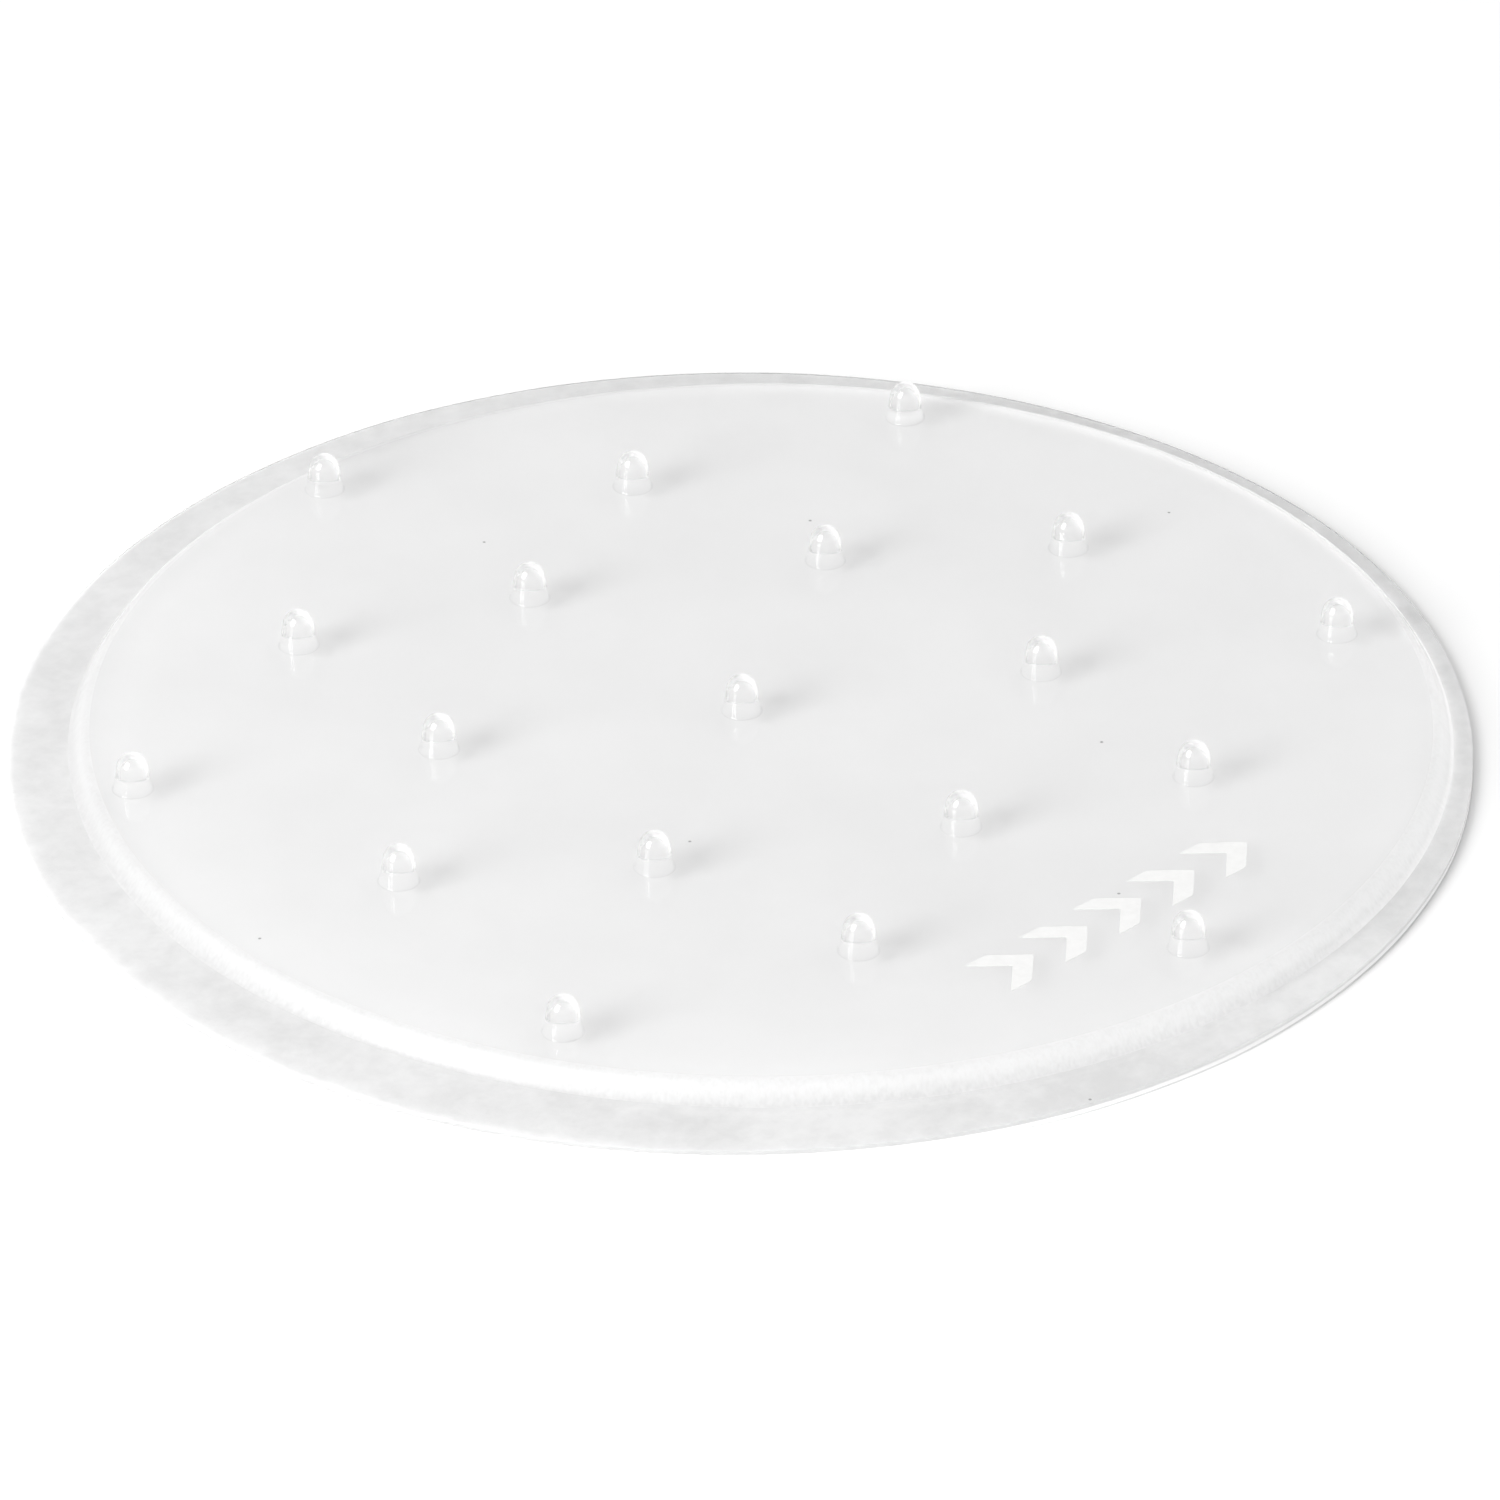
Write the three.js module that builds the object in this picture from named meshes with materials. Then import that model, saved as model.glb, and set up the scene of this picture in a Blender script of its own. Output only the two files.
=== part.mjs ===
// A round, clear stomp pad for a snowboard deck: one polyurethane moulding, a raised plate with a steep wall
// and a thin skirt, and upright round-nosed studs, backed by an adhesive film and a peel-off release liner.
// A row of plain chevrons is printed in white near its front edge.
// Millimetres, +Z up. The origin is the centre of the liner's underside, and -Y is the printed side.
import * as THREE from 'three';

// The stack, from the bottom up. Its levels are whole eighths or sixteenths of a millimetre.
const PAD_RADIUS = 65;
const LINER_THICKNESS = 0.125;
const ADHESIVE_THICKNESS = 0.375;
const BASE_THICKNESS = 2.5;
const INK_THICKNESS = 0.0625;

// The raised top ends in a steep wall, and a thin skirt runs on from the wall's foot to the trimmed edge.
// The skirt is cut off centre, so it is wider on one side of the raised top than on the other.
const TOP_RADIUS = 59.25;
const WALL_WIDTH = 1.25;
const WALL_DROP = 1.9375;
const SKIRT_EDGE_THICKNESS = 0.5;
const TOP_SHIFT = { x: 0.875, y: -1.5 };

// The studs: a slightly tapered stem under a round nose.
const STUD_HEIGHT = 3.5;
const STUD_FOOT_RADIUS = 1.7;
const STUD_NOSE_RADIUS = 1.33;

// The stud pattern: one stud in the centre and three rings of six, all sized by one pitch.
const STUD_PITCH = 27.1;
const STUDS_PER_RING = 6;
const STUD_RINGS = [
  { name: 'inner', pitches: 1, firstDegrees: 30 },
  { name: 'middle', pitches: 1.5, firstDegrees: 0 },
  { name: 'outer', pitches: 2, firstDegrees: 30 },
];

// The printed mark: a row of chevrons that point along +X.
const MARK_Y = -46;
const CHEVRON_COUNT = 5;
const CHEVRON_SPACING = 6.5;
const CHEVRON_HEIGHT = 5.5;
const CHEVRON_STROKE = 2.5;
const CHEVRON_POINT = 3;

// How finely round shapes are divided.
const PAD_SEGMENTS = 96;
const STUD_SEGMENTS = 16;
const NOSE_STEPS = 4;

// Levels that follow from the stack.
const ADHESIVE_BOTTOM = LINER_THICKNESS;
const BASE_BOTTOM = ADHESIVE_BOTTOM + ADHESIVE_THICKNESS;
const BASE_TOP = BASE_BOTTOM + BASE_THICKNESS;

const materials = {
  polyurethane: new THREE.MeshStandardMaterial({
    color: 0xeef1f1, roughness: 0.08, metalness: 0, transparent: true, opacity: 0.45,
  }),
  adhesive: new THREE.MeshStandardMaterial({
    color: 0xe9eceb, roughness: 0.35, metalness: 0, transparent: true, opacity: 0.5,
  }),
  liner: new THREE.MeshStandardMaterial({
    color: 0xf0f1ef, roughness: 0.3, metalness: 0, transparent: true, opacity: 0.7,
  }),
  ink: new THREE.MeshStandardMaterial({ color: 0xf7f7f5, roughness: 0.55, metalness: 0 }),
};

function namedMesh(name, geometry, material) {
  const mesh = new THREE.Mesh(geometry, material);
  mesh.name = name;
  return mesh;
}

// Turns a profile of [radius, height] pairs about the Z axis. It starts and ends on the axis, lowest first.
function turned(profile, segments) {
  const points = profile.map(([radius, height]) => new THREE.Vector2(radius, height));
  const geometry = new THREE.LatheGeometry(points, segments);
  geometry.rotateX(Math.PI / 2);
  return geometry;
}

function disc(bottom, top) {
  return turned([[0, bottom], [PAD_RADIUS, bottom], [PAD_RADIUS, top], [0, top]], PAD_SEGMENTS);
}

// The plate is turned on the skirt's axis, and then its raised part is moved sideways as a whole.
function basePlate() {
  const wallFoot = BASE_TOP - WALL_DROP;
  const geometry = turned([
    [0, BASE_BOTTOM],
    [PAD_RADIUS, BASE_BOTTOM],
    [PAD_RADIUS, BASE_BOTTOM + SKIRT_EDGE_THICKNESS],
    [TOP_RADIUS + WALL_WIDTH, wallFoot],
    [TOP_RADIUS, BASE_TOP],
    [0, BASE_TOP],
  ], PAD_SEGMENTS);
  const points = geometry.getAttribute('position');
  const halfway = BASE_BOTTOM + SKIRT_EDGE_THICKNESS + (wallFoot - BASE_BOTTOM - SKIRT_EDGE_THICKNESS) / 2;
  for (let index = 0; index < points.count; index += 1) {
    if (points.getZ(index) > halfway) {
      points.setX(index, points.getX(index) + TOP_SHIFT.x);
      points.setY(index, points.getY(index) + TOP_SHIFT.y);
    }
  }
  return geometry;
}

function stud() {
  const profile = [[0, 0], [STUD_FOOT_RADIUS, 0]];
  const noseCentre = STUD_HEIGHT - STUD_NOSE_RADIUS;
  for (let step = 0; step < NOSE_STEPS; step += 1) {
    const angle = (step / NOSE_STEPS) * (Math.PI / 2);
    profile.push([
      STUD_NOSE_RADIUS * Math.cos(angle),
      noseCentre + STUD_NOSE_RADIUS * Math.sin(angle),
    ]);
  }
  profile.push([0, STUD_HEIGHT]);
  return turned(profile, STUD_SEGMENTS);
}

function chevron() {
  const half = CHEVRON_HEIGHT / 2;
  const left = -(CHEVRON_STROKE + CHEVRON_POINT) / 2;
  const shape = new THREE.Shape([
    new THREE.Vector2(left, -half),
    new THREE.Vector2(left + CHEVRON_STROKE, -half),
    new THREE.Vector2(left + CHEVRON_STROKE + CHEVRON_POINT, 0),
    new THREE.Vector2(left + CHEVRON_STROKE, half),
    new THREE.Vector2(left, half),
    new THREE.Vector2(left + CHEVRON_POINT, 0),
  ]);
  return new THREE.ExtrudeGeometry(shape, { depth: INK_THICKNESS, bevelEnabled: false });
}

function studGroup() {
  const group = new THREE.Group();
  group.position.z = BASE_TOP;
  group.add(namedMesh('stud_centre', stud(), materials.polyurethane));
  for (const ring of STUD_RINGS) {
    for (let index = 0; index < STUDS_PER_RING; index += 1) {
      const degrees = ring.firstDegrees + (index * 360) / STUDS_PER_RING;
      const angle = THREE.MathUtils.degToRad(degrees);
      const radius = ring.pitches * STUD_PITCH;
      const mesh = namedMesh(`stud_${ring.name}_${index + 1}`, stud(), materials.polyurethane);
      mesh.position.set(radius * Math.cos(angle), radius * Math.sin(angle), 0);
      group.add(mesh);
    }
  }
  return group;
}

function printedMark() {
  const group = new THREE.Group();
  group.position.set(0, MARK_Y, BASE_TOP);
  for (let index = 0; index < CHEVRON_COUNT; index += 1) {
    const mesh = namedMesh(`print_chevron_${index + 1}`, chevron(), materials.ink);
    mesh.position.x = (index - (CHEVRON_COUNT - 1) / 2) * CHEVRON_SPACING;
    group.add(mesh);
  }
  return group;
}

const stompPad = new THREE.Group();
stompPad.add(
  namedMesh('release_liner', disc(0, ADHESIVE_BOTTOM), materials.liner),
  namedMesh('adhesive_film', disc(ADHESIVE_BOTTOM, BASE_BOTTOM), materials.adhesive),
  namedMesh('pad_base', basePlate(), materials.polyurethane),
  studGroup(),
  printedMark(),
);

export default stompPad;
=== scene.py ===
import math
import random

import bpy
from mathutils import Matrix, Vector
from mathutils.geometry import delaunay_2d_cdt


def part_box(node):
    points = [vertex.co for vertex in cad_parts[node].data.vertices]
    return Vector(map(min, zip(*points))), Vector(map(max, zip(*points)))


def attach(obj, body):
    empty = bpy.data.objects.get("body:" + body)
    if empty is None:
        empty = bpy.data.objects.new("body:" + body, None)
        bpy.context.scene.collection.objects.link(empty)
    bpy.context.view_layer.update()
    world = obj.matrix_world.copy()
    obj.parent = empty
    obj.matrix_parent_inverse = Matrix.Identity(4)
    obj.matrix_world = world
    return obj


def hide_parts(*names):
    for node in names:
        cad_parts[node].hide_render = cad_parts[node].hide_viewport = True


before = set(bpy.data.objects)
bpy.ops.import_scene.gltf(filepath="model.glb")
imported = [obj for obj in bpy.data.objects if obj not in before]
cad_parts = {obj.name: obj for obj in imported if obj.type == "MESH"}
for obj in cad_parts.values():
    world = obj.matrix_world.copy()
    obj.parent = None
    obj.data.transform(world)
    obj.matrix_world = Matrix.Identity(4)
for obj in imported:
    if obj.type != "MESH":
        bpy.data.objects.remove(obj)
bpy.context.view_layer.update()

MM = 0.001
TURN = 2 * math.pi
STUD_NODES = sorted(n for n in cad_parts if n.startswith("stud_"))
CHEVRON_NODES = sorted(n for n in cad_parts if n.startswith("print_chevron_"))

# The moulding's raised top and the thin skirt round it, in millimetres.
TOP_EDGE_RADIUS = 59.2
TOP_SHIFT = Vector((0.87, -1.53))
WALL_WIDTH = 1.25
WALL_DROP = 1.93
SKIRT_EDGE_DROP = 0.12
TOOL_MARK = 0.008

# How far the rim's creases are rounded, in millimetres.
BROW_SOFTNESS = 0.6
FOOT_SOFTNESS = 0.5
EDGE_SOFTNESS = 0.1

# The studs' shape beyond their CAD boxes, in millimetres.
FOOT_FILLET = 0.14
NOSE_RADIUS = 1.38

# The hand-trimmed outline, in millimetres. The bulge is a sum of cosines of order 0, 1 and 2.
TRIM_MARGIN = 0.38
TRIM_WOBBLE = 0.09
TRIM_BULGE = (0.23, 1.58, 0.88)
TRIM_BULGE_ANGLE = math.radians(-141)

# The adhesive's top lies this far inside the moulding, so that no air shows between the two, in millimetres.
ADHESIVE_OVERLAP = 0.03
ADHESIVE_CLEARANCE = 0.02

# The printed chevrons: how far their corners are rounded and sunk into the top, in millimetres.
INK_CORNER = 0.25
INK_SINK = 0.03
INK_DROP = 0.01
STROKE_SHARE = 2.5 / 5.5

# Optics: the share of its light that a shadow ray keeps at each surface, and the emissions that stand for
# light which gathers in the clear parts. Apart from polyurethane's index, all are fitted.
POLYURETHANE_IOR = 1.49
STUD_IOR = 1.33
LIGHT_THROUGH = 0.41
LIGHT_THROUGH_STUDS = 0.18
LIGHT_THROUGH_FILM = 0.93
LIGHT_THROUGH_INK = 0.9
LIGHT_THROUGH_SHADED_WALL = 0.2
NOSE_GLOW = 0.22
FOOT_GLOW = 0.12

# The camera, in degrees and metres, and the point on the plate's top that it looks at, in millimetres.
CAMERA_TARGET = (-4.18, -5.35)
CAMERA_AZIMUTH = -44.07
CAMERA_ELEVATION = 31.12
CAMERA_DISTANCE = 0.978
CAMERA_LENS = 270.26

# The studio, in degrees and metres: a low, tall softbox on the left and a bright room.
KEY_AZIMUTH = -92
KEY_ELEVATION = 31
KEY_DISTANCE = 1.6
KEY_WIDTH = 0.75
KEY_HEIGHT = 1.25
KEY_POWER = 40.0
WALL_LIGHT = 1.25
CEILING_LIGHT = 0.55
FAR_DIRECTION = (0.694, 0.72, 0.0)
FAR_SHARE = 0.65
FLOOR_HALF_SIZE = 6.0
FLOOR_GAP = 0.00002

# The moulding's materials, by slot.
PLATE, LIT_WALL, SHADED_WALL, SKIRT, CUT_EDGE, STUD = range(6)

# How finely things are divided. The grid's spacing is in millimetres.
RIM_STEPS = 720
STUD_STEPS = 48
NOSE_STEPS = 9
GRID_SPACING = 2.2


class MeshParts:
    """Points and faces of one closed mesh, in metres, gathered ring by ring."""

    def __init__(self):
        self.points = []
        self.faces = []
        self.slots = {}

    def add(self, points):
        first = len(self.points)
        self.points.extend(points)
        return list(range(first, len(self.points)))

    def bridge(self, lower, upper):
        count = len(lower)
        for i in range(count):
            j = (i + 1) % count
            self.faces.append((lower[i], lower[j], upper[j], upper[i]))

    def fan(self, ring, tip):
        count = len(ring)
        for i in range(count):
            self.faces.append((ring[i], ring[(i + 1) % count], tip))

    def paint_since(self, first_face, slot):
        """Gives every face from first_face on a material slot."""
        self.slots.update((face, slot) for face in range(first_face, len(self.faces)))

    def make(self, name, smooth=True):
        mesh = bpy.data.meshes.new(name)
        mesh.from_pydata([tuple(p) for p in self.points], [], self.faces)
        mesh.polygons.foreach_set("use_smooth", [smooth] * len(mesh.polygons))
        indices = [self.slots.get(i, 0) for i in range(len(mesh.polygons))]
        mesh.polygons.foreach_set("material_index", indices)
        mesh.update()
        piece = bpy.data.objects.new(name, mesh)
        bpy.context.scene.collection.objects.link(piece)
        return piece


def direction(azimuth, elevation):
    """The way from the pad to something at an azimuth, counted from -Y towards +X, and an elevation."""
    a, e = math.radians(azimuth), math.radians(elevation)
    return Vector((math.sin(a) * math.cos(e), -math.cos(a) * math.cos(e), math.sin(e)))


def angles(count):
    return [TURN * i / count for i in range(count)]


def circle(x, y, radius, count):
    return [(x + radius * math.cos(a), y + radius * math.sin(a)) for a in angles(count)]


def towards(a, b, length):
    size = math.dist(a, b)
    return tuple(p + (q - p) * length / size for p, q in zip(a, b))


def quadratic(a, b, c, steps):
    """Points of the quadratic curve from a to c that b pulls at, both ends left out."""
    out = []
    for i in range(1, steps):
        t = i / steps
        out.append(tuple((1 - t) ** 2 * p + 2 * t * (1 - t) * q + t * t * r for p, q, r in zip(a, b, c)))
    return out


# ---------------------------------------------------------------- outline and rim

# The pad was trimmed by hand, so its outline bulges to one side and wanders a little. The film and the liner
# were cut with it.
trim_random = random.Random(11)
TRIM_WAVES = [(order, trim_random.uniform(0.4, 1) / order ** 0.5, trim_random.uniform(0, TURN))
              for order in (3, 5, 8, 13, 21, 34)]


def trim(angle):
    """How far the cut edge lies outside a true circle, in metres."""
    off = angle - TRIM_BULGE_ANGLE
    bulge = sum(size * math.cos(order * off) for order, size in enumerate(TRIM_BULGE))
    waves = sum(size * math.sin(order * angle + phase) for order, size, phase in TRIM_WAVES)
    return MM * (bulge + TRIM_WOBBLE * waves)


def outline(radius, z):
    """A ring that follows the trim."""
    ring = []
    for a in angles(RIM_STEPS):
        r = radius + trim(a)
        ring.append((r * math.cos(a), r * math.sin(a), z))
    return ring


def rim_ring(radius, z, outer, marks=None):
    """A ring of the moulding's rim. The raised top sits off centre, and the cut edge follows the trim."""
    inwards = min(1.0, (outer - radius) / (outer - (TOP_EDGE_RADIUS + WALL_WIDTH) * MM))
    shift = TOP_SHIFT * MM * inwards
    ring = []
    for i, a in enumerate(angles(RIM_STEPS)):
        r = radius + trim(a) * (1 - inwards) + (marks[i] if marks else 0)
        ring.append((shift.x + r * math.cos(a), shift.y + r * math.sin(a), z))
    return ring


def rim_profile(top, bottom, outer):
    """The rim from the flat top outwards, as (radius, height) in metres, with its creases rounded."""
    brow = (TOP_EDGE_RADIUS * MM, top)
    foot = ((TOP_EDGE_RADIUS + WALL_WIDTH) * MM, top - WALL_DROP * MM)
    edge = (outer, foot[1] - SKIRT_EDGE_DROP * MM)
    start = (brow[0] - BROW_SOFTNESS * MM, top)
    points = [start]
    for before, corner, after, soft in ((start, brow, foot, BROW_SOFTNESS),
                                        (brow, foot, edge, FOOT_SOFTNESS),
                                        (foot, edge, (outer, bottom), EDGE_SOFTNESS)):
        lead_in = towards(corner, before, soft * MM)
        lead_out = towards(corner, after, soft * MM)
        if before is not start:
            last = points[-1]
            gap = math.dist(last, lead_in)
            points += [towards(last, lead_in, gap * share) for share in (0.05, 0.35, 0.65, 0.95)]
            points.append(lead_in)
        points += quadratic(lead_in, corner, lead_out, 6) + [lead_out]
    return points


# ---------------------------------------------------------------- the moulding

def ripple(x, y):
    """The slight unevenness of the cast top, in metres."""
    u, v = x / MM, y / MM
    return MM * (0.007 * math.sin(u / 6.1 + v / 9.7 + 0.6) + 0.006 * math.sin(u / 11.3 - v / 7.9 + 2.1)
                 + 0.004 * math.sin(u / 3.7 - v / 13.1 + 4.0))


def stud_places():
    """Each stud's centre, foot radius and height, from its CAD box, in metres."""
    places = []
    for node in STUD_NODES:
        low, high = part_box(node)
        places.append(((low.x + high.x) / 2, (low.y + high.y) / 2, (high.x - low.x) / 2, high.z - low.z))
    return places


def stud_profile(foot, height):
    """A stud from its foot fillet up, as (radius, height above the plate) in metres. The tip is left out."""
    fillet, nose = FOOT_FILLET * MM, NOSE_RADIUS * MM
    centre = height - nose
    taper = math.atan2(foot - nose, centre)
    start, corner = (foot + fillet, 0.0), (foot, 0.0)
    shoulder = (nose * math.cos(taper), centre + nose * math.sin(taper))
    stem = towards(corner, shoulder, fillet)
    points = [start] + quadratic(start, corner, stem, 5)
    points += [stem, towards(stem, shoulder, math.dist(stem, shoulder) / 2)]
    for i in range(NOSE_STEPS):
        a = taper + (math.pi / 2 - taper) * i / NOSE_STEPS
        points.append((nose * math.cos(a), centre + nose * math.sin(a)))
    return points


def grid_points(studs, edge):
    """Points of a triangular grid over the flat top, clear of the rim and the studs."""
    middle = TOP_SHIFT * MM
    step = GRID_SPACING * MM
    rows = int(edge / step) + 2
    out = []
    for row in range(-rows, rows + 1):
        y = row * step * math.sqrt(3) / 2
        for column in range(-rows, rows + 1):
            x = (column + 0.5 * (row % 2)) * step
            if math.hypot(x - middle.x, y - middle.y) > edge - 0.8 * step:
                continue
            if any(math.hypot(x - sx, y - sy) < foot + FOOT_FILLET * MM + 0.6 * step
                   for sx, sy, foot, _ in studs):
                continue
            out.append((x, y))
    return out


def on_uneven_top(point, studs, edge, top):
    """The point on the cast top. The ripple dies away at the rim and at each stud's foot."""
    x, y = point
    fade = min(1.0, max(0.0, (edge - (Vector((x, y)) - TOP_SHIFT * MM).length) / (3 * MM)))
    for sx, sy, foot, _ in studs:
        clear = math.hypot(x - sx, y - sy) - foot - FOOT_FILLET * MM
        fade = min(fade, max(0.0, clear / (2 * MM)))
    return (x, y, top + ripple(x, y) * fade)


def flat_top(parts, rim, studs, edge, top):
    """The flat top with a hole at each stud. Gives the rings of points round its rim and its holes."""
    flat = list(rim)
    loops = [list(range(len(rim)))]
    for x, y, foot, _ in studs:
        loops.append(list(range(len(flat), len(flat) + STUD_STEPS)))
        flat += circle(x, y, foot + FOOT_FILLET * MM, STUD_STEPS)
    flat += grid_points(studs, edge)
    edges = [(loop[i], loop[(i + 1) % len(loop)]) for loop in loops for i in range(len(loop))]
    corners = [Vector(p) for p in flat]
    points, _, triangles, sources, _, _ = delaunay_2d_cdt(corners, edges, [], 0, 1e-9)
    place = {old: new for new, olds in enumerate(sources) for old in olds}
    parts.add([on_uneven_top(p, studs, edge, top) for p in points])
    for triangle in triangles:
        x, y = [sum(points[i][k] for i in triangle) / 3 for k in (0, 1)]
        in_hole = any(math.hypot(x - sx, y - sy) < foot + FOOT_FILLET * MM * 0.9
                      for sx, sy, foot, _ in studs)
        if not in_hole:
            parts.faces.append(tuple(triangle))
    return [[place[i] for i in loop] for loop in loops]


def raise_stud(parts, ring, stud, top):
    """One stud, up from the ring of points round its foot."""
    x, y, foot, height = stud
    first_face = len(parts.faces)
    for radius, rise in stud_profile(foot, height)[1:]:
        above = parts.add([(px, py, top + rise) for px, py in circle(x, y, radius, STUD_STEPS)])
        parts.bridge(ring, above)
        ring = above
    tip = parts.add([(x, y, top + height)])[0]
    parts.fan(ring, tip)
    parts.paint_since(first_face, STUD)


def lower_rim(parts, ring, profile, outer, top):
    """The wall, the skirt and the cut edge, down from the ring round the flat top. Gives the lowest ring."""
    key = direction(KEY_AZIMUTH, KEY_ELEVATION)
    edge_top = top - (WALL_DROP + SKIRT_EDGE_DROP) * MM
    wobble = random.Random(5)
    marks = [wobble.gauss(0, TOOL_MARK * MM) for _ in range(RIM_STEPS)]
    for radius, z in profile[1:]:
        first_face = len(parts.faces)
        on_wall = top - WALL_DROP * MM * 0.85 < z < top - WALL_DROP * MM * 0.1
        below = parts.add(rim_ring(radius, z, outer, marks if on_wall else None))
        parts.bridge(below, ring)
        ring = below
        if z < top - WALL_DROP * MM * 0.97:
            parts.paint_since(first_face, CUT_EDGE if z < edge_top - 0.03 * MM else SKIRT)
        elif z < top - 0.005 * MM:
            for step, a in enumerate(angles(RIM_STEPS)):
                lit = math.cos(a) * key.x + math.sin(a) * key.y > 0.0
                parts.slots[first_face + step] = LIT_WALL if lit else SHADED_WALL
    return ring


def close_underside(parts, ring, outer, bottom):
    first_face = len(parts.faces)
    inner = parts.add(outline(outer, bottom))
    parts.bridge(inner, ring)
    parts.paint_since(first_face, CUT_EDGE)
    for share in (0.8, 0.5, 0.2):
        smaller = parts.add([(x, y, bottom) for x, y in circle(0, 0, outer * share, RIM_STEPS)])
        parts.bridge(smaller, inner)
        inner = smaller
    centre = parts.add([(0, 0, bottom)])[0]
    parts.fan(list(reversed(inner)), centre)


def moulding():
    """The plate with its wall, its skirt and its studs, as the one piece that it is cast as."""
    low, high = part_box("pad_base")
    top, outer = high.z, high.x - TRIM_MARGIN * MM
    studs = stud_places()
    profile = rim_profile(top, low.z, outer)
    edge = profile[0][0]
    rim = [(x, y) for x, y, _ in rim_ring(edge, top, outer)]
    parts = MeshParts()
    top_ring, *foot_rings = flat_top(parts, rim, studs, edge, top)
    for ring, stud in zip(foot_rings, studs):
        raise_stud(parts, ring, stud, top)
    lowest_ring = lower_rim(parts, top_ring, profile, outer, top)
    close_underside(parts, lowest_ring, outer, low.z)
    return parts.make("clear_moulding")


# ---------------------------------------------------------------- films and print

def film(name, node, gap_below, gap_above):
    """A flat film cut to the pad's outline, between the levels of its CAD solid."""
    low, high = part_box(node)
    bottom, top = low.z + gap_below * MM, high.z - gap_above * MM
    outer = high.x - TRIM_MARGIN * MM
    parts = MeshParts()
    rings = []
    for z in (bottom, top):
        ring = parts.add(outline(outer, z))
        inner = parts.add([(p[0] * 0.6, p[1] * 0.6, z) for p in outline(outer, z)])
        centre = parts.add([(0, 0, z)])[0]
        rings.append((ring, inner, centre))
    (low_ring, low_inner, low_centre), (top_ring, top_inner, top_centre) = rings
    parts.bridge(low_ring, top_ring)
    parts.bridge(top_ring, top_inner)
    parts.fan(top_inner, top_centre)
    parts.bridge(low_inner, low_ring)
    parts.fan(list(reversed(low_inner)), low_centre)
    return parts.make(name, smooth=False)


def chevron(node):
    """One printed chevron: the CAD outline with slightly rounded corners, as screen ink leaves them."""
    low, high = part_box(node)
    half = (high.y - low.y) / 2
    mid = (high.y + low.y) / 2
    length = high.x - low.x
    stroke = length * STROKE_SHARE
    point = length - stroke
    corners = [(low.x, mid - half), (low.x + stroke, mid - half), (high.x, mid),
               (low.x + stroke, mid + half), (low.x, mid + half), (low.x + point, mid)]
    rounded = []
    for i, corner in enumerate(corners):
        a = towards(corner, corners[i - 1], INK_CORNER * MM)
        b = towards(corner, corners[(i + 1) % len(corners)], INK_CORNER * MM)
        rounded += [a] + quadratic(a, corner, b, 5) + [b]
    parts = MeshParts()
    bottom = parts.add([(x, y, low.z + INK_SINK * MM) for x, y in rounded])
    shoulder = parts.add([(x, y, high.z - INK_DROP * MM) for x, y in rounded])
    parts.bridge(bottom, shoulder)
    parts.faces.append(tuple(shoulder))
    parts.faces.append(tuple(reversed(bottom)))
    return parts.make(node.replace("print", "ink"), smooth=False)


# ---------------------------------------------------------------- materials

def new_material(name, settings=None):
    """A material and its shader, with the values that are the same all over its surface."""
    material = bpy.data.materials.new(name)
    material.use_nodes = True
    tree = material.node_tree
    shader = tree.nodes["Principled BSDF"]
    for socket, value in (settings or {}).items():
        shader.inputs[socket].default_value = value
    return material, tree, shader


def object_place(tree):
    return tree.nodes.new("ShaderNodeTexCoord").outputs["Object"]


def object_height(tree):
    split = tree.nodes.new("ShaderNodeSeparateXYZ")
    tree.links.new(object_place(tree), split.inputs["Vector"])
    return split.outputs["Z"]


def noise(tree, scale, detail=2.0, roughness=0.5, stretch=None):
    """Noise in object coordinates, which may first be stretched along an axis."""
    place = object_place(tree)
    if stretch:
        mapping = tree.nodes.new("ShaderNodeMapping")
        mapping.inputs["Scale"].default_value = stretch
        tree.links.new(place, mapping.inputs["Vector"])
        place = mapping.outputs["Vector"]
    texture = tree.nodes.new("ShaderNodeTexNoise")
    texture.inputs["Scale"].default_value = scale
    texture.inputs["Detail"].default_value = detail
    texture.inputs["Roughness"].default_value = roughness
    tree.links.new(place, texture.inputs["Vector"])
    return texture.outputs["Fac"]


def ramp(tree, source, low, high, first, last):
    node = tree.nodes.new("ShaderNodeMapRange")
    node.inputs["From Min"].default_value = low
    node.inputs["From Max"].default_value = high
    node.inputs["To Min"].default_value = first
    node.inputs["To Max"].default_value = last
    tree.links.new(source, node.inputs["Value"])
    return node.outputs["Result"]


def arithmetic(tree, operation, *values):
    """A Math node's output. Each value is a number or another node's output."""
    node = tree.nodes.new("ShaderNodeMath")
    node.operation = operation
    for socket, value in zip(node.inputs, values):
        if isinstance(value, float):
            socket.default_value = value
        else:
            tree.links.new(value, socket)
    return node.outputs["Value"]


def facing(tree, source, way):
    """How far a vector points a given way."""
    node = tree.nodes.new("ShaderNodeVectorMath")
    node.operation = "DOT_PRODUCT"
    node.inputs[1].default_value = way
    tree.links.new(source, node.inputs[0])
    return node.outputs["Value"]


def grey(level):
    return (level, level, level)


def colour_ramp(tree, source, stops):
    node = tree.nodes.new("ShaderNodeValToRGB")
    elements = node.color_ramp.elements
    for element, (position, colour) in zip(elements, stops):
        element.position = position
        element.color = (*colour, 1)
    tree.links.new(source, node.inputs["Fac"])
    return node.outputs["Color"]


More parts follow.
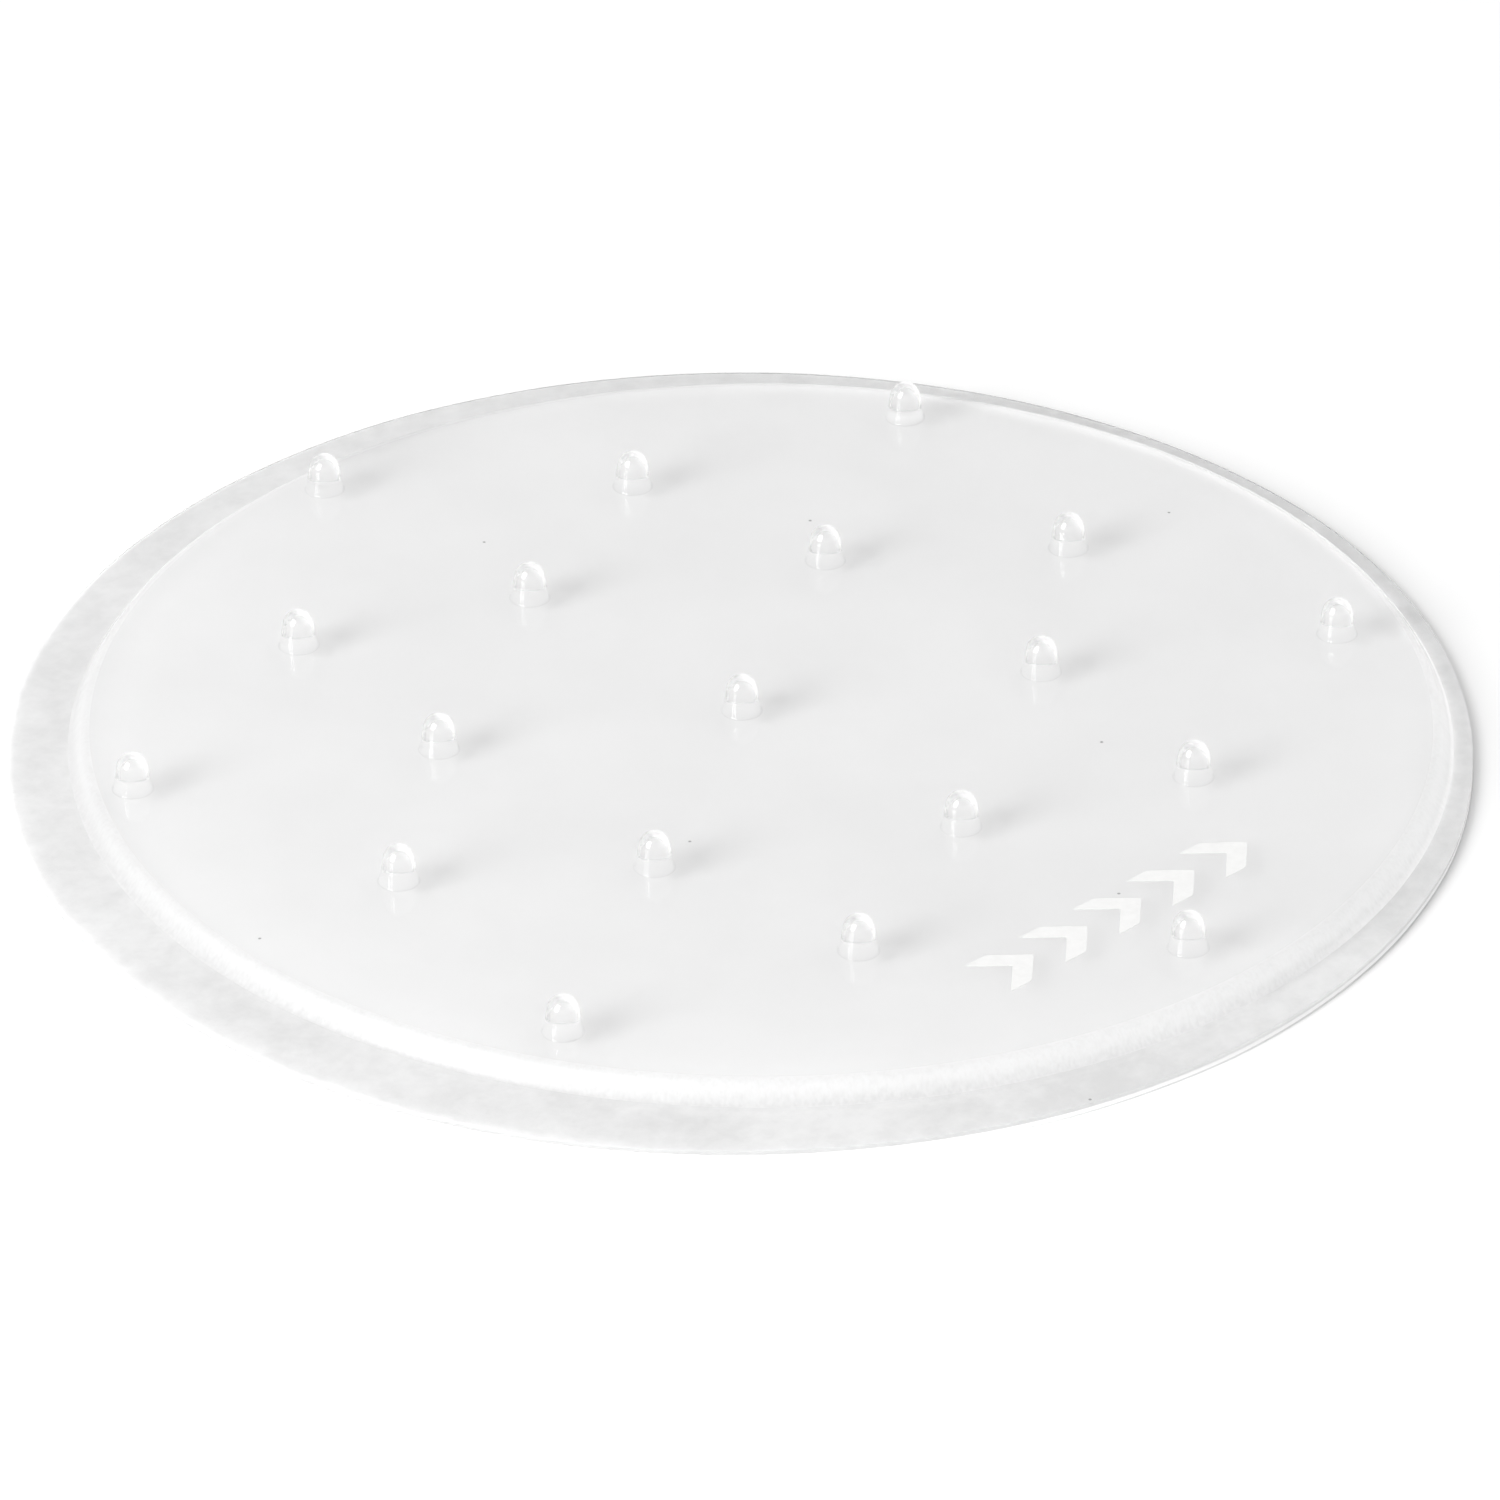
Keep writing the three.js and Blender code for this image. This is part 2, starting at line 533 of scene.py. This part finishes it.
def speckled(tree, colour, scale, size, speck):
    """Puts a few dark specks of dust into a colour."""
    cells = tree.nodes.new("ShaderNodeTexVoronoi")
    cells.voronoi_dimensions = "2D"
    cells.inputs["Scale"].default_value = scale
    tree.links.new(object_place(tree), cells.inputs["Vector"])
    mix = tree.nodes.new("ShaderNodeMix")
    mix.data_type = "RGBA"
    mix.inputs["B"].default_value = (*grey(speck), 1)
    tree.links.new(ramp(tree, cells.outputs["Distance"], size * 0.6, size, 0.8, 0.0), mix.inputs["Factor"])
    tree.links.new(colour, mix.inputs["A"])
    return mix.outputs["Result"]


def roughen(tree, shader, source, strength, distance):
    bump = tree.nodes.new("ShaderNodeBump")
    bump.inputs["Strength"].default_value = strength
    bump.inputs["Distance"].default_value = distance
    tree.links.new(source, bump.inputs["Height"])
    tree.links.new(bump.outputs["Normal"], shader.inputs["Normal"])


def let_light_through(tree, shader, share):
    """Shadow rays pass straight through the surface and keep a share of their light."""
    path = tree.nodes.new("ShaderNodeLightPath")
    through = tree.nodes.new("ShaderNodeBsdfTransparent")
    through.inputs["Color"].default_value = (*grey(share), 1)
    mix = tree.nodes.new("ShaderNodeMixShader")
    tree.links.new(path.outputs["Is Shadow Ray"], mix.inputs[0])
    tree.links.new(shader.outputs["BSDF"], mix.inputs[1])
    tree.links.new(through.outputs["BSDF"], mix.inputs[2])
    tree.links.new(mix.outputs["Shader"], tree.nodes["Material Output"].inputs["Surface"])


def glossy_top():
    """The glossy top of the plate."""
    settings = {"Transmission Weight": 1.0, "IOR": POLYURETHANE_IOR}
    material, tree, shader = new_material("glossy_polyurethane", settings)
    tint = colour_ramp(tree, noise(tree, 60, 3), [(0.3, grey(0.985)), (0.7, grey(1.0))])
    tree.links.new(tint, shader.inputs["Base Color"])
    tree.links.new(ramp(tree, noise(tree, 240, 4), 0.3, 0.75, 0.02, 0.06), shader.inputs["Roughness"])
    roughen(tree, shader, noise(tree, 900, 3), 0.05, 0.0004)
    let_light_through(tree, shader, LIGHT_THROUGH)
    return material


def cloudy_stud():
    """The studs: glossy, faintly cloudy and painted darker towards the foot as shade. An emission stands for
    light that gathers in the nose.
    """
    settings = {"Transmission Weight": 0.975, "IOR": STUD_IOR, "Coat Weight": 1.0, "Coat Roughness": 0.03}
    material, tree, shader = new_material("cloudy_polyurethane", settings)
    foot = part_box("pad_base")[1].z
    height = object_height(tree)
    # Painted shade: the stud's colour is darker at its foot and lighter towards the nose; the noise on top
    # is its cloudiness.
    painted_stem_shade = ramp(tree, height, foot, foot + 3 * MM, 0.0, 0.8)
    cloud_and_painted_stem_shade = arithmetic(tree, "MULTIPLY_ADD", noise(tree, 600, 3), 0.3, painted_stem_shade)
    tint = colour_ramp(tree, cloud_and_painted_stem_shade, [(0.1, grey(0.86)), (0.7, grey(1.0))])
    tree.links.new(tint, shader.inputs["Base Color"])
    tree.links.new(ramp(tree, noise(tree, 900, 3), 0.3, 0.75, 0.16, 0.26), shader.inputs["Roughness"])
    roughen(tree, shader, noise(tree, 1500, 3), 0.06, 0.0002)
    normal = tree.nodes.new("ShaderNodeNewGeometry").outputs["Normal"]
    away = facing(tree, normal, direction(KEY_AZIMUTH + 165, 37))
    on_nose = ramp(tree, height, foot + 1.2 * MM, foot + 2 * MM, 0.0, 1.0)
    glow = arithmetic(tree, "MULTIPLY", ramp(tree, away, 0.25, 0.75, 0.0, NOSE_GLOW), on_nose)
    tree.links.new(glow, shader.inputs["Emission Strength"])
    let_light_through(tree, shader, LIGHT_THROUGH_STUDS)
    return material


def tool_marked_wall(name, clearness, through, foot_glow):
    """The satin wall, streaked by tool marks and painted darker towards its foot as shade. An emission
    stands for light that gathers at its foot.
    """
    settings = {"Transmission Weight": clearness, "IOR": POLYURETHANE_IOR}
    material, tree, shader = new_material(name, settings)
    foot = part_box("pad_base")[1].z - WALL_DROP * MM
    height = object_height(tree)
    streaks = noise(tree, 3000, stretch=(1, 1, 0.06))
    # Painted shade: the wall's colour darkens towards its foot and lightens at the brow, on top of the
    # tool-mark streaks.
    painted_wall_shade = ramp(tree, height, foot, foot + 1.2 * MM, -0.35, 0.2)
    shade = arithmetic(tree, "ADD", streaks, painted_wall_shade)
    tint = colour_ramp(tree, shade, [(0.1, grey(0.76)), (0.8, grey(0.98))])
    tree.links.new(tint, shader.inputs["Base Color"])
    tree.links.new(ramp(tree, streaks, 0.3, 0.75, 0.45, 0.6), shader.inputs["Roughness"])
    roughen(tree, shader, streaks, 0.4, 0.00002)
    if foot_glow:
        away = facing(tree, object_place(tree), -direction(KEY_AZIMUTH, 0))
        at_foot = ramp(tree, height, foot, foot + 0.6 * MM, foot_glow, 0.0)
        glow = arithmetic(tree, "MULTIPLY", at_foot, ramp(tree, away, 0.0, 15 * MM, 0.0, 1.0))
        tree.links.new(glow, shader.inputs["Emission Strength"])
    let_light_through(tree, shader, through)
    return material


def trimmed_skirt():
    """The thin skirt, faintly frosted and mottled by trimming and handling."""
    settings = {"Transmission Weight": 1.0, "IOR": POLYURETHANE_IOR}
    material, tree, shader = new_material("trimmed_polyurethane", settings)
    patches = ramp(tree, noise(tree, 32, 3), 0.3, 0.7, -0.15, 0.2)
    mottle = arithmetic(tree, "ADD", noise(tree, 420, 6, 0.7), patches)
    tint = colour_ramp(tree, mottle, [(0.32, grey(0.77)), (0.7, grey(0.96))])
    tree.links.new(tint, shader.inputs["Base Color"])
    tree.links.new(ramp(tree, noise(tree, 320, 4), 0.3, 0.75, 0.08, 0.25), shader.inputs["Roughness"])
    roughen(tree, shader, noise(tree, 700, 5), 0.35, 0.0002)
    let_light_through(tree, shader, LIGHT_THROUGH)
    return material


def cut_edge():
    """The skirt's outer edge, dulled by the knife."""
    settings = {"Transmission Weight": 0.9, "IOR": POLYURETHANE_IOR}
    material, tree, shader = new_material("cut_polyurethane", settings)
    tint = colour_ramp(tree, noise(tree, 800, 3), [(0.3, grey(0.68)), (0.7, grey(0.78))])
    tree.links.new(tint, shader.inputs["Base Color"])
    tree.links.new(ramp(tree, noise(tree, 500, 3), 0.3, 0.75, 0.35, 0.5), shader.inputs["Roughness"])
    roughen(tree, shader, noise(tree, 1200, 3), 0.4, 0.0001)
    let_light_through(tree, shader, LIGHT_THROUGH_FILM)
    return material


def adhesive():
    """Whitish adhesive that wets the whole underside of the moulding."""
    settings = {"Roughness": 0.5, "Specular IOR Level": 0.2}
    material, tree, shader = new_material("whitish_adhesive", settings)
    tint = colour_ramp(tree, noise(tree, 70, 4), [(0.35, grey(0.858)), (0.65, grey(0.88))])
    tree.links.new(speckled(tree, tint, 30, 0.005, 0.25), shader.inputs["Base Color"])
    let_light_through(tree, shader, LIGHT_THROUGH_FILM)
    return material


def liner_film():
    material, tree, shader = new_material("liner_film")
    stops = [(0.3, (0.86, 0.865, 0.86)), (0.7, (0.92, 0.925, 0.92))]
    tint = colour_ramp(tree, noise(tree, 30, 3), stops)
    tree.links.new(tint, shader.inputs["Base Color"])
    tree.links.new(ramp(tree, noise(tree, 150, 3), 0.3, 0.7, 0.25, 0.4), shader.inputs["Roughness"])
    tree.links.new(ramp(tree, noise(tree, 90, 2), 0.3, 0.7, 0.68, 0.78), shader.inputs["Alpha"])
    return material


def white_ink():
    material, tree, shader = new_material("white_ink")
    stops = [(0.3, (0.66, 0.66, 0.655)), (0.7, (0.70, 0.70, 0.695))]
    tint = colour_ramp(tree, noise(tree, 1500, 4), stops)
    tree.links.new(tint, shader.inputs["Base Color"])
    tree.links.new(ramp(tree, noise(tree, 2500, 3), 0.3, 0.7, 0.4, 0.6), shader.inputs["Roughness"])
    let_light_through(tree, shader, LIGHT_THROUGH_INK)
    return material


def floor_material():
    settings = {"Base Color": (*grey(0.78), 1), "Roughness": 0.9, "Specular IOR Level": 0.1}
    return new_material("pale_floor", settings)[0]


def moulding_materials():
    """The moulding's materials, in the order of their slots."""
    return [
        glossy_top(),
        # Lit and shaded copies of one wall material, split by which side faces the key: the lit one is a
        # little cloudier, the shaded one carries a painted glow at its foot.
        tool_marked_wall("lit_wall", 0.95, LIGHT_THROUGH, 0.0),
        tool_marked_wall("shaded_wall", 0.98, LIGHT_THROUGH_SHADED_WALL, FOOT_GLOW),
        trimmed_skirt(),
        cut_edge(),
        cloudy_stud(),
    ]


# ---------------------------------------------------------------- studio

def aim(thing, back):
    """Adds a camera or a lamp to the scene, looking against a direction."""
    thing.rotation_mode = "QUATERNION"
    thing.rotation_quaternion = (-back).to_track_quat("-Z", "Y")
    bpy.context.scene.collection.objects.link(thing)


def place_camera():
    """A long lens, from the front left of the printed side and well above."""
    x, y = CAMERA_TARGET
    target = Vector((x * MM, y * MM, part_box("pad_base")[1].z))
    back = direction(CAMERA_AZIMUTH, CAMERA_ELEVATION)
    data = bpy.data.cameras.new("camera")
    data.lens = CAMERA_LENS
    data.sensor_width = 36
    data.clip_start = 0.01
    data.clip_end = 50
    camera = bpy.data.objects.new("camera", data)
    camera.location = target + back * CAMERA_DISTANCE
    aim(camera, back)
    bpy.context.scene.camera = camera


def key_softbox():
    """A rectangular softbox that faces the pad. Its light is followed through the clear moulding."""
    back = direction(KEY_AZIMUTH, KEY_ELEVATION)
    data = bpy.data.lights.new("key_softbox", "AREA")
    data.shape = "RECTANGLE"
    data.size = KEY_WIDTH
    data.size_y = KEY_HEIGHT
    data.energy = KEY_POWER
    data.cycles.is_caustics_light = True
    lamp = bpy.data.objects.new("key_softbox", data)
    lamp.location = back * KEY_DISTANCE
    aim(lamp, back)


def bright_room():
    """A white room whose walls are brighter than its ceiling, and dimmer on the far side of the pad."""
    world = bpy.data.worlds.new("studio")
    world.use_nodes = True
    tree = world.node_tree
    way = tree.nodes.new("ShaderNodeTexCoord").outputs["Generated"]
    split = tree.nodes.new("ShaderNodeSeparateXYZ")
    tree.links.new(way, split.inputs["Vector"])
    by_height = ramp(tree, split.outputs["Z"], 0.3, 0.8, WALL_LIGHT, CEILING_LIGHT)
    by_side = ramp(tree, facing(tree, way, FAR_DIRECTION), 0.2, 0.75, 1.0, FAR_SHARE)
    background = tree.nodes["Background"]
    background.inputs["Color"].default_value = (1, 1, 1, 1)
    tree.links.new(arithmetic(tree, "MULTIPLY", by_height, by_side), background.inputs["Strength"])
    bpy.context.scene.world = world


def pale_floor():
    size, z = FLOOR_HALF_SIZE, -FLOOR_GAP
    mesh = bpy.data.meshes.new("floor")
    corners = [(-size, -size, z), (size, -size, z), (size, size, z), (-size, size, z)]
    mesh.from_pydata(corners, [], [(0, 1, 2, 3)])
    mesh.materials.append(floor_material())
    floor = bpy.data.objects.new("floor", mesh)
    bpy.context.scene.collection.objects.link(floor)
    floor.cycles.is_caustics_receiver = True


# ---------------------------------------------------------------- assembly

def finish_piece(piece, materials, body, slot, *nodes):
    """Gives a piece its materials and its body, and hides the CAD nodes that it replaces. slot is not used.
    """
    indices = [p.material_index for p in piece.data.polygons]
    for material in materials:
        piece.data.materials.append(material)
    piece.data.polygons.foreach_set("material_index", indices)
    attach(piece, body)
    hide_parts(*nodes)


place_camera()

plate = moulding()
plate.cycles.is_caustics_caster = True
finish_piece(plate, moulding_materials(), "pad", "polyurethane", "pad_base", *STUD_NODES)

glue = film("adhesive_layer", "adhesive_film", ADHESIVE_CLEARANCE, -ADHESIVE_OVERLAP)
glue.cycles.is_caustics_receiver = True
finish_piece(glue, [adhesive()], "pad", "adhesive", "adhesive_film")

liner = film("peel_liner", "release_liner", 0.0, 0.0)
finish_piece(liner, [liner_film()], "liner", "liner", "release_liner")

ink = white_ink()
for node in CHEVRON_NODES:
    finish_piece(chevron(node), [ink], "pad", "ink", node)

key_softbox()
bright_room()
pale_floor()
bpy.context.scene.view_settings.view_transform = "Standard"
